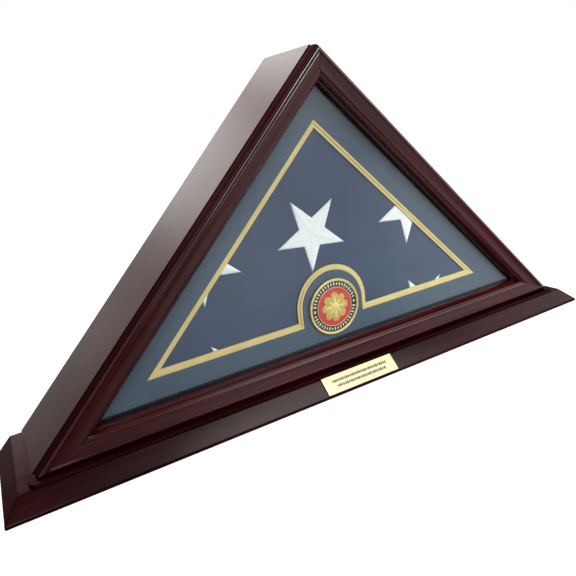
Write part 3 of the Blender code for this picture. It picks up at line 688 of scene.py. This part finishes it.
def medallion():
    dress("medallion_disc", M["black"], 0.2, 2, 40.0)
    dress("medallion_centre", M["red"], 0.15, 2, 40.0)
    y = MAT_Y0 - 0.3 - 1.5 - 0.3                       # front of the disc, less the gap
    # the rim: a broad bead, a groove and a thin inner bead
    sec = [(31.5, 0.0), (31.5, 0.55)]
    sec += [(30.65 + 0.85 * cos(radians(a)), 0.55 + 0.6 * sin(radians(a)))
            for a in range(20, 161, 20)]
    sec += [(29.8, 0.5), (29.75, 0.3), (29.5, 0.28), (29.42, 0.45)]
    sec += [(29.12 + 0.3 * cos(radians(a)), 0.5 + 0.35 * sin(radians(a)))
            for a in range(20, 161, 35)]
    sec += [(28.9, 0.0)]
    o = turned_ring("medallion_rim_beaded", sec, M["gilt"], MED_X, MED_H, 144, 40.0, y)
    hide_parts("medallion_rim")
    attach(o, "case")
    # thin ring between the black band and the red centre
    sec = [(22.3, 0.0), (22.3, 0.5)]
    sec += [(21.95 + 0.35 * cos(radians(a)), 0.62 + 0.33 * sin(radians(a)))
            for a in range(20, 161, 35)]
    sec += [(21.6, 0.5), (21.6, 0.0)]
    o = turned_ring("medallion_inner_ring", sec, M["gilt"], MED_X, MED_H, 128, 40.0, y)
    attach(o, "case")
    # black band: a ring of small cream lozenges, in two arcs parted by a stud
    verts, faces = [], []
    count = 44
    for k in range(count):
        a = 2 * pi * (k + 0.5) / count
        if k in (count // 2 - 1, count // 2, 0, count - 1):
            continue
        er, et = Vector((cos(a), sin(a))), Vector((-sin(a), cos(a)))
        c = Vector((MED_X, MED_H)) + er * 25.6
        long = 1.95 if k % 2 == 0 else 1.45
        pts = []
        for f, w in ((-1.0, 0.35), (-0.6, 0.72), (0.6, 0.80), (1.0, 0.38)):
            pts.append(c + er * (long * f) - et * w)
        for f, w in ((1.0, 0.38), (0.6, 0.80), (-0.6, 0.72), (-1.0, 0.35)):
            pts.append(c + er * (long * f) + et * w)
        b0 = len(verts)
        verts += [(q.x, y, q.y + BASE_T) for q in pts]
        verts += [(q.x, y - 0.22, q.y + BASE_T) for q in pts]
        inner = [c + (q - c) * 0.75 for q in pts]
        verts += [(q.x, y - 0.32, q.y + BASE_T) for q in inner]
        add_ring(faces, b0, b0 + 8, 8)
        add_ring(faces, b0 + 8, b0 + 16, 8)
        faces.append(tuple(range(b0 + 16, b0 + 24)))
        faces.append(tuple(range(b0, b0 + 8)))
    o = mesh_object("medallion_lozenges", verts, faces, M["cream"], 35.0)
    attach(o, "case")
    for i, s in enumerate((-1, 1)):
        o = dome("medallion_stud_%d" % (i + 1), lambda a: 1.5,
                 lambda f, a: 0.15 + 0.6 * sqrt(max(0.0, 1 - f * f)),
                 M["gilt"], MED_X + s * 25.6, MED_H, y, 40)
        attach(o, "case")
    # rosette: eight leaves, an eight-point star over them and a domed boss
    yr = y - 0.7 - 0.3

    def outline(a):
        leaf = abs(cos(4 * a))
        return 12.4 + 4.4 * leaf ** 0.7

    def relief(f, a):
        leaf = abs(cos(4 * a))
        h = 0.25 + 0.42 * sqrt(max(0.0, 1 - f ** 3)) * (0.45 + 0.55 * leaf)
        return h - 0.20 * exp(-((leaf - 1.0) / 0.035) ** 2) * f     # leaf vein

    def star_edge(a):
        k = (a / (pi / 4)) % 1.0
        k = min(k, 1 - k) / 0.5                                     # 0 on a ray, 1 between
        reach = 13.6 if (round(a / (pi / 4)) % 2 == 0) else 10.2
        return reach * (1 - k) ** 1.5 + 4.6 * (1 - (1 - k) ** 1.5)

    def star_relief(f, a):
        k = (a / (pi / 4)) % 1.0
        k = min(k, 1 - k) / 0.5
        r = f * star_edge(a)
        h = 0.66 + 0.34 * (1 - f) * (1 - 0.6 * k)
        if r < 3.9:
            h = max(h, 0.86 + 0.50 * sqrt(max(0.0, 1 - (r / 3.9) ** 2)))
        return h

    o = dome("medallion_star_relief", star_edge, star_relief, M["gilt"], MED_X, MED_H, yr, 256)
    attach(o, "case")
    o = dome("medallion_rosette_relief", outline, relief, M["gilt_deep"], MED_X, MED_H, yr, 256)
    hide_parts("medallion_rosette")
    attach(o, "case")


medallion()


# =============================================================================
# nameplate: brushed brass with two rows of small lozenges
# =============================================================================
def nameplate():
    dress("nameplate", M["brass"], 0.18, 2, 40.0)
    # the plate lies on the base's front bevel: its own axes
    fb, ft = Vector((0.0, -67.25, 2.9)), Vector((0.0, -51.55, 17.5))
    up = (ft - fb).normalized()
    out = Vector((1.0, 0.0, 0.0)).cross(up)
    if out.y > 0:
        out = -out
    lo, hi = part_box("nameplate")
    corners = [Vector(v.co) / MM for v in NODE["nameplate"].data.vertices]
    d_max = max(c.dot(out) for c in corners)
    mid_up = (max(c.dot(up) for c in corners) + min(c.dot(up) for c in corners)) / 2
    half_h = (max(c.dot(up) for c in corners) - min(c.dot(up) for c in corners)) / 2
    mid_x = (lo.x + hi.x) / 2 / MM
    half_w = (hi.x - lo.x) / 2 / MM

    # two rows of small engraved lozenges, the upper one longer
    rows = []
    for v, half, pitch in ((3.0, 35.0, 2.50), (-3.0, 32.0, 2.50)):
        n = int(2 * half / pitch)
        for i in range(n + 1):
            x = (i - n / 2) * pitch
            wide = 1.08 if i % 3 else 0.80
            tall = 1.85 if i % 2 else 1.45
            rows.append((x, v, wide, tall))
    verts, faces = [], []
    for x, v, wide, tall in rows:
        b0 = len(verts)
        for d, k in ((-0.02, 1.0), (0.05, 1.0), (0.07, 0.85)):
            for px, pv in ((wide, 0.0), (wide * 0.6, tall), (-wide * 0.6, tall), (-wide, 0.0),
                           (-wide * 0.6, -tall), (wide * 0.6, -tall)):
                verts.append(tuple(Vector((mid_x + x + px * k, 0.0, 0.0))
                                   + up * (mid_up + v + pv * k) + out * (d_max + d)))
        add_ring(faces, b0, b0 + 6, 6)
        add_ring(faces, b0 + 6, b0 + 12, 6)
        faces.append(tuple(range(b0 + 12, b0 + 18)))
        faces.append(tuple(range(b0, b0 + 6)))
    o = mesh_object("nameplate_lozenges", verts, faces, M["ink"], 30.0)
    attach(o, "case")


nameplate()


# =============================================================================
# screws with a cross recess
# =============================================================================
def screw(name, node, axis, centre, head, mat, turn):
    """Replaces a plain CAD screw.  head lists (radius, height) of its section
    from the top centre outwards and down; the recess is sunk in the top."""
    ez = Vector(axis).normalized()
    ex = Vector((1, 0, 0)) if abs(ez.x) < 0.7 else Vector((0, 1, 0))
    ex = (ex - ez * ex.dot(ez)).normalized()
    ex = Matrix.Rotation(turn, 3, ez) @ ex
    ey = ez.cross(ex)
    c = Vector(centre)
    steps = 72
    verts, faces = [], []
    for i, (r, z) in enumerate(head):
        for k in range(steps):
            a = 2 * pi * k / steps
            x, y = r * cos(a), r * sin(a)
            sink = 0.0
            if r < 2.2 and i < 12:
                arm = min(abs(x), abs(y))
                along = max(abs(x), abs(y))
                if arm < 0.55 and along < 1.75:
                    edge = min((0.55 - arm) / 0.22, (1.75 - along) / 0.35, 1.0)
                    sink = 0.85 * max(0.0, edge)
            q = c + ex * x + ey * y + ez * (z - sink)
            verts.append(tuple(q))
    n = len(head)
    for i in range(n - 1):
        add_ring(faces, i * steps, (i + 1) * steps, steps)
    top = len(verts)
    verts.append(tuple(c + ez * (head[0][1] - 0.85)))
    verts.append(tuple(c + ez * head[-1][1]))
    for k in range(steps):
        faces.append((top, k, (k + 1) % steps))
        faces.append((top + 1, (n - 1) * steps + k, (n - 1) * steps + (k + 1) % steps))
    o = mesh_object(name, verts, faces, mat, 45.0)
    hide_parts(node)
    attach(o, "case")
    return o


pan_head = [(0.05 + 0.195 * i, 1.2 - 0.25 * (0.195 * i / 2.3) ** 2) for i in range(12)]
pan_head += [(2.45, 0.88), (2.75, 0.70), (2.95, 0.50), (3.05, 0.25), (3.1, 0.02), (3.05, 0.0),
             (1.5, 0.0)]
for i in range(1, 7):
    lo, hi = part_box("turn_button_screw_%d" % i)
    mid = (lo + hi) / 2 / MM
    top = hi.y / MM
    shank = lo.y / MM
    head = pan_head + [(1.45, -1.5), (1.45, shank - top + 1.2 + 1.6), (0.9, shank - top + 1.2 + 0.5),
                       (0.1, shank - top + 1.2)]
    o = screw("button_screw_%d" % i, "turn_button_screw_%d" % i, (0, 1, 0),
              (mid.x, top - 1.2, mid.z), head, M["screw_brass"], 0.35 + 0.9 * i)
for i in range(1, 4):
    lo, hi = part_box("base_screw_%d" % i)
    mid = (lo + hi) / 2 / MM
    flat = [(0.05 + 0.195 * k, 0.0) for k in range(12)]
    flat += [(3.0, 0.0), (4.1, 0.0), (4.4, -0.12), (4.4, -0.55), (1.95, -3.55), (1.9, -4.5),
             (1.9, -21.3), (1.3, -24.2), (0.1, -25.8)]
    o = screw("underside_screw_%d" % i, "base_screw_%d" % i, (0, 0, -1),
              (mid.x, mid.y, lo.z / MM), flat, M["steel"], 0.2 + 1.1 * i)


# =============================================================================
# folded flag: a stack of folded cloth, its edges rounded folds
# =============================================================================
INSET = 0.0
W_FLAG = FLAG_SUM - FLAG_H0            # half width at the foot of the packet


def packet_outline(off, corner, count):
    """Points round the packet's triangle, moved in by off, its corners rounded
    by corner, as (x, h, outward nx, nh, distance along), counter-clockwise
    from the bottom left, evenly spaced."""
    s = FLAG_SUM - off * R2
    h0 = FLAG_H0 + off
    w = s - h0
    tri = [Vector((-w, h0)), Vector((w, h0)), Vector((0.0, s))]
    pts = []
    for i in range(3):
        a, b, c = tri[i - 1], tri[i], tri[(i + 1) % 3]
        da, dc = (a - b).normalized(), (c - b).normalized()
        half = acos(max(-1.0, min(1.0, da.dot(dc)))) / 2
        cut = corner / (sin(half) / cos(half))
        bis = (da + dc).normalized()
        centre = b + bis * (corner / sin(half))
        p0, p1 = b + da * cut, b + dc * cut
        a0 = atan2(p0.y - centre.y, p0.x - centre.x)
        a1 = atan2(p1.y - centre.y, p1.x - centre.x)
        while a1 < a0:
            a1 += 2 * pi
        for k in range(13):
            t = a0 + (a1 - a0) * k / 12
            pts.append((centre.x + corner * cos(t), centre.y + corner * sin(t), cos(t), sin(t)))
    # walk the closed line evenly
    total = [0.0]
    n = len(pts)
    for i in range(n):
        a, b = pts[i], pts[(i + 1) % n]
        total.append(total[-1] + hypot(b[0] - a[0], b[1] - a[1]))
    out, i = [], 0
    for k in range(count):
        d = total[-1] * k / count
        while total[i + 1] < d:
            i += 1
        a, b = pts[i], pts[(i + 1) % n]
        f = (d - total[i]) / max(1e-9, total[i + 1] - total[i])
        nx, nh = a[2] + (b[2] - a[2]) * f, a[3] + (b[3] - a[3]) * f
        m = hypot(nx, nh) or 1.0
        out.append((a[0] + (b[0] - a[0]) * f, a[1] + (b[1] - a[1]) * f, nx / m, nh / m, d))
    return out


def soft(x, h, scale, seed):
    return noise.noise(Vector((x / scale, h / scale, seed)))


def flag_packet():
    count = 384
    ring0 = packet_outline(1.0, 9.0, count)
    layers = 11
    depth = FLAG_Y1 - FLAG_Y0 - 1.2
    verts, faces = [], []
    cx, ch = 0.0, FLAG_H0 + (FLAG_SUM - FLAG_H0) * (R2 - 1.0)
    rings = []
    steps_face = 34

    def face_ring(f, front):
        """A ring of the front or back face, f from 0 at the middle to 1."""
        row = []
        for x, h, nx, nh, d in ring0:
            back = 8.5 * (1 - 1.0)
            px, ph = x - nx * 9.5, h - nh * 9.5
            qx, qh = cx + (px - cx) * f, ch + (ph - ch) * f
            roll = 0.9 * soft(qx, qh, 46.0, 3.1 if front else 8.4) \
                + 0.35 * soft(qx, qh, 17.0, 5.7 if front else 1.9)
            crown = 0.9 * (1 - f ** 4)
            if front:
                y = FLAG_Y0 + 1.35 - crown + 0.55 * roll
            else:
                y = FLAG_Y1 - 1.6 + crown + 0.6 * roll
                y += flap_height(qx, qh)
            row.append((qx, y, qh))
        return row

    def flap_height(x, h):
        """On the back the last flap is tucked in: its folded edge runs down
        across the face, with a step of one layer."""
        s = (x * 0.9239 + (h - 60.0) * -0.3827)          # distance from the flap's edge
        return 1.5 / (1 + exp(s / 0.9)) - 1.3

    for i in range(1, steps_face + 1):
        rings.append(face_ring(i / steps_face, True))
    # the side: rounded folds, one ridge for each layer
    side_steps = layers * 8
    for i in range(1, side_steps):
        f = i / side_steps
        y = FLAG_Y0 + 1.1 + depth * f - 0.5
        row = []
        lay = f * layers
        k = int(lay)
        phase = lay - k
        for x, h, nx, nh, d in ring0:
            shift = 2.6 * noise.noise(Vector((d / 170.0, k * 7.31, 0.4)))
            shift2 = 0.7 * noise.noise(Vector((d / 22.0, k * 3.7, f * 3.0)))
            fold = sqrt(max(0.0, 1 - (2 * phase - 1) ** 2))       # round nose of a fold
            edge = min(f, 1 - f)
            shoulder = 7.5 * max(0.0, 1 - edge / 0.11) ** 2
            inn = shoulder + 3.4 * (1 - fold) + 2.0 + shift + shift2
            inn = max(0.2, inn)
            wob = 0.9 * noise.noise(Vector((d / 60.0, 2.2, k * 1.9)))
            row.append((x - nx * inn, y + wob * min(1.0, edge * 12), h - nh * inn))
        rings.append(row)
    for i in range(steps_face, 0, -1):
        rings.append(face_ring(i / steps_face, False))
    for row in rings:
        verts += [(x, y, h + BASE_T) for x, y, h in row]
    for i in range(len(rings) - 1):
        add_ring(faces, i * count, (i + 1) * count, count)
    a = len(verts)
    verts.append((cx, FLAG_Y0 + 0.5, ch + BASE_T))
    verts.append((cx, FLAG_Y1 - 0.9 + flap_height(cx, ch), ch + BASE_T))
    last = (len(rings) - 1) * count
    for k in range(count):
        faces.append((a, k, (k + 1) % count))
        faces.append((a + 1, last + k, last + (k + 1) % count))
    return mesh_object("flag_packet", verts, faces, M["flag"], 70.0)


flag = flag_packet()


def star_points(cx, ch, radius, first, inner=0.382):
    out = []
    for k in range(5):
        a = radians(first + 72.0 * k)
        b = radians(first + 72.0 * k + 36.0)
        out.append((cx + radius * cos(a), ch + radius * sin(a)))
        out.append((cx + radius * inner * cos(b), ch + radius * inner * sin(b)))
    return out


def embroidered_star(name, cx, ch, radius, first, tree, front=True):
    """A star stitched on the cloth: ten facets that meet in ridges along the
    arms and valleys between them, laid on the flag's own surface."""
    pts = star_points(cx, ch, radius, first)
    n = 16
    verts, faces, uvs, key = [], [], [], {}
    sgn = 1 if front else -1
    y_from = (-80.0 if front else 120.0) * MM

    def surface(x, h):
        hit = tree.ray_cast(Vector((x * MM, y_from, (h + BASE_T) * MM)), Vector((0, sgn, 0)))
        return hit[0].y / MM if hit[0] is not None else None

    tips = [0, 2, 4, 6, 8]
    for k in tips:
        tip = Vector(pts[k])
        arm = (tip - Vector((cx, ch))).normalized()
        side = Vector((-arm.y, arm.x))
        for vi in (k + 1, k - 1):
            val = Vector(pts[vi % 10])
            c = Vector((cx, ch))
            edge = (val - tip).normalized()
            enorm = Vector((-edge.y, edge.x))
            if (c - tip).dot(enorm) < 0:
                enorm = -enorm
            idx = {}
            for i in range(n + 1):
                for j in range(n + 1 - i):
                    a, b = i / n, j / n                      # towards the tip, towards the valley
                    q = c * (1 - a - b) + tip * a + val * b
                    e = max(0.0, (q - tip).dot(enorm))        # distance in from the outline
                    lift = 0.95 * min(1.0, e / 1.3) ** 0.55
                    ridge = abs((q - c).dot(side))
                    lift += 0.40 * exp(-(ridge / 2.2)) * min(1.0, e / 2.0)
                    y = surface(q.x, q.y)
                    if y is None:
                        idx[(i, j)] = None
                        continue
                    kk = (round(q.x, 3), round(q.y, 3))
                    if kk not in key:
                        key[kk] = len(verts)
                        verts.append((q.x, y - sgn * (lift - 0.12), q.y + BASE_T))
                    idx[(i, j)] = key[kk]
                    uvs.append(None)
            for i in range(n):
                for j in range(n - i):
                    tri = [(i, j), (i + 1, j), (i, j + 1)]
                    tri2 = [(i + 1, j), (i + 1, j + 1), (i, j + 1)] if j < n - i - 1 else None
                    for tr in (tri, tri2):
                        if tr is None or any(idx.get(q) is None for q in tr):
                            continue
                        faces.append((tuple(idx[q] for q in tr), arm, side))
    # a skirt down into the cloth closes the outline
    edge_count = {}
    for f, _, _ in faces:
        for a, b in ((f[0], f[1]), (f[1], f[2]), (f[2], f[0])):
            edge_count.setdefault((min(a, b), max(a, b)), []).append((a, b))
    low = {}

    def sunk(i):
        if i not in low:
            x, y, z = verts[i]
            s = surface(x, z - BASE_T)
            low[i] = len(verts)
            verts.append((x, (s if s is not None else y) + sgn * 0.35, z))
        return low[i]

    skirts = []
    for e, uses in edge_count.items():
        if len(uses) == 1:
            a, b = uses[0]
            skirts.append((b, a, sunk(a), sunk(b)))
    me_faces = [f for f, _, _ in faces] + skirts
    o = mesh_object(name, verts, me_faces, M["star"], 50.0, outward=False)
    me = o.data
    uv = me.uv_layers.new(name="stitch")
    c = Vector((cx, ch))
    for pi_, poly in enumerate(me.polygons):
        if pi_ < len(faces):
            _, arm, side = faces[pi_]
        for li in poly.loop_indices:
            co = me.vertices[me.loops[li].vertex_index].co
            q = Vector((co.x / MM, co.z / MM - BASE_T)) - c
            uv.data[li].uv = (q.dot(arm) * MM, q.dot(side) * MM)
    # faces look out of the cloth
    flip = me.polygons[0].normal.y * (-sgn) < 0 if len(me.polygons) else False
    if flip:
        me.flip_normals()
    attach(o, "case")
    return o


def flag_stars():
    me = flag.data
    tree = BVHTree.FromPolygons([v.co.copy() for v in me.vertices],
                                [tuple(p.vertices) for p in me.polygons])
    front = [(-14.8, 149.8), (115.0, 152.7), (-139.4, 146.0), (-123.5, 24.5), (1.3, 26.0),
             (131.0, 28.7), (-251.0, 21.0), (258.0, 31.5), (-30.5, 273.0)]
    for i, (x, h) in enumerate(front):
        inside = FLAG_SUM - h - abs(x)
        if inside < -20:
            continue
        embroidered_star("star_front_%d" % (i + 1), x, h, 43.5, 48.0, tree, True)
    back = [(40.0, 60.0), (-86.0, 66.0), (-30.0, 182.0), (166.0, 54.0), (97.0, 178.0),
            (-212.0, 72.0)]
    for i, (x, h) in enumerate(back):
        embroidered_star("star_back_%d" % (i + 1), x, h, 43.5, 66.0, tree, False)


flag_stars()
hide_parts("folded_flag")
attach(flag, "case")


# =============================================================================
# floor and studio light
# =============================================================================
def floor():
    bm = bmesh.new()
    bmesh.ops.create_grid(bm, x_segments=1, y_segments=1, size=6.0)
    me = bpy.data.meshes.new("floor")
    bm.to_mesh(me)
    bm.free()
    o = bpy.data.objects.new("floor", me)
    scene.collection.objects.link(o)
    o.location = (0.0, 0.0, -0.0004)
    mat, t, b, co = shader("floor_white", Metallic=0.0, Roughness=0.9)
    b.inputs["Base Color"].default_value = (0.32, 0.32, 0.32, 1.0)
    b.inputs["Specular IOR Level"].default_value = 0.0
    b.inputs["Emission Color"].default_value = (1.0, 1.0, 1.0, 1.0)
    b.inputs["Emission Strength"].default_value = 0.93
    me.materials.append(mat)
    # the glossy pieces mirror the studio only, as on a raised light table
    o.visible_glossy = False
    o.visible_diffuse = False
    o.visible_transmission = False
    o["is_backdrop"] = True


# Soft boxes, banks and reflectors round the object: direction, half angle of the
# full part, half angle where it has faded out, and strength.
LAMPS = (
    (0.172, -0.188, 0.967, 3, 21, 0.27),
    (0.421, -0.089, 0.903, 9, 19, 0.16),
    (-0.327, 0.446, 0.833, 3, 35, 0.06),
    (-0.275, 0.510, 0.815, 0, 14, 0.10),
    (0.327, 0.561, 0.760, 1, 18, 0.64),
    (0.189, -0.638, 0.746, 1, 17, 0.50),
    (0.721, -0.352, 0.597, 3, 14, 0.37),
    (0.477, -0.774, 0.417, 3, 20, 0.46),
    (-0.104, 0.925, 0.364, 3, 15, 0.41),
    (0.804, -0.406, 0.435, 2, 24, 0.55),
    (0.412, -0.892, 0.186, 7, 19, 0.45),
    (-0.156, 0.956, 0.249, 8, 20, 0.36),
    (0.065, 0.961, 0.269, 5, 15, 0.60),
    (0.699, -0.705, 0.122, 0, 23, 0.32),
    (0.182, -0.970, 0.163, 0, 25, 0.12),
    (0.457, -0.882, -0.114, 1, 16, 0.17),
    (-0.482, 0.836, 0.262, 4, 23, 0.15),
    (0.768, -0.594, -0.240, 0, 20, 0.67),
    (0.428, -0.880, -0.209, 0, 21, 0.29),
    (-0.243, 0.958, -0.154, 4, 20, 0.40),
    (0.380, 0.835, -0.398, 2, 16, 0.04),
    (0.216, -0.918, -0.332, 0, 24, 0.24),
    (0.914, -0.205, -0.350, 2, 24, 0.62),
    (0.620, -0.467, -0.631, 5, 21, 0.26),
    (0.525, 0.783, -0.333, 0, 24, 0.08),
    (0.731, 0.416, -0.541, 4, 30, 0.10),
    (0.816, 0.176, -0.550, 2, 24, 0.23),
    (0.017, -0.695, -0.719, 4, 25, 0.09),
    (-0.205, -0.465, -0.861, 0, 20, 0.41),
    (0.327, -0.140, -0.935, 2, 24, 0.11),
    (-0.497, 0.100, -0.862, 5, 39, 0.19),
    (0.557, 0.376, 0.740, 6, 34, 0.20),
    (0.982, 0.027, 0.186, 2, 40, 0.39),
    (-0.125, 0.478, -0.869, 8, 34, 0.09),
    (-0.110, -0.680, 0.720, 2, 9, 22.00),
    (-0.210, -0.800, 0.550, 2, 10, 8.00),
    (-0.310, -0.870, 0.370, 2, 11, 2.50),
    (0.100, 0.840, 0.540, 2, 9, 1.00),
    (-0.080, 0.930, 0.360, 3, 10, 0.90),
    (0.487, -0.740, 0.460, 3, 14, 2.00),
    (0.720, -0.600, 0.350, 3, 14, 1.60),
    (0.400, -0.540, 0.740, 4, 17, 2.40),
    (0.950, -0.300, 0.120, 6, 22, 2.40),
    (0.190, 0.830, 0.530, 2, 13, 2.40),
    # fill from the sides and behind, which the main view doesn't see
    (-0.850, 0.100, 0.500, 8, 50, 0.30),
    (0.800, 0.600, 0.000, 8, 48, 0.45),
    (-0.450, 0.450, 0.780, 8, 40, 0.10),
    (0.000, 0.250, -1.000, 8, 60, 0.30),
)


def studio():
    world = bpy.data.worlds.new("studio")
    scene.world = world
    t = Tree(world)
    out = t.new("ShaderNodeOutputWorld")
    d = t.vmath('NORMALIZE', t.new("ShaderNodeTexCoord").outputs["Generated"])
    level = 0.012
    for lx, ly, lz, inner, outer, power in LAMPS:
        c = t.vmath('DOT_PRODUCT', d, tuple(Vector((lx, ly, lz)).normalized()))
        level = t.math('ADD', level, t.span(c, cos(radians(outer)), cos(radians(inner)),
                                            0.0, power, True))
    studio_light = t.new("ShaderNodeBackground")
    studio_light.inputs[0].default_value = (1.0, 0.992, 0.990, 1.0)
    t.put(studio_light.inputs[1], level)
    plain = t.new("ShaderNodeBackground")
    plain.inputs[0].default_value = (1.0, 1.0, 1.0, 1.0)
    plain.inputs[1].default_value = 1.0
    seen = t.new("ShaderNodeLightPath").outputs["Is Camera Ray"]
    m = t.new("ShaderNodeMixShader")
    t.put(m.inputs[0], seen)
    t.nt.links.new(studio_light.outputs[0], m.inputs[1])
    t.nt.links.new(plain.outputs[0], m.inputs[2])
    t.nt.links.new(m.outputs[0], out.inputs[0])
    world.cycles.sampling_method = 'MANUAL'
    world.cycles.sample_map_resolution = 1024


def area_lamp(name, place, aim, size, power):
    """A soft box for the matt surfaces; the shiny ones mirror the studio."""
    data = bpy.data.lights.new(name, 'AREA')
    data.shape = 'DISK'
    data.size = size
    data.energy = power
    o = bpy.data.objects.new(name, data)
    scene.collection.objects.link(o)
    way = (Vector(aim) - Vector(place)).normalized()
    o.rotation_mode = 'QUATERNION'
    o.rotation_quaternion = way.to_track_quat('-Z', 'Y')
    o.location = place
    o.visible_camera = False
    o.visible_glossy = False
    o.visible_transmission = False


floor()
studio()
area_lamp("key", (0.28, -0.46, 0.04), (0.08, 0.0, -0.04), 0.30, 2.8)
area_lamp("top", (-0.15, 0.35, 0.75), (-0.1, 0.0, 0.2), 0.40, 8.0)
area_lamp("rear", (0.50, 1.00, 0.50), (0.0, 0.05, 0.12), 0.60, 9.0)

lo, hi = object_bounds()
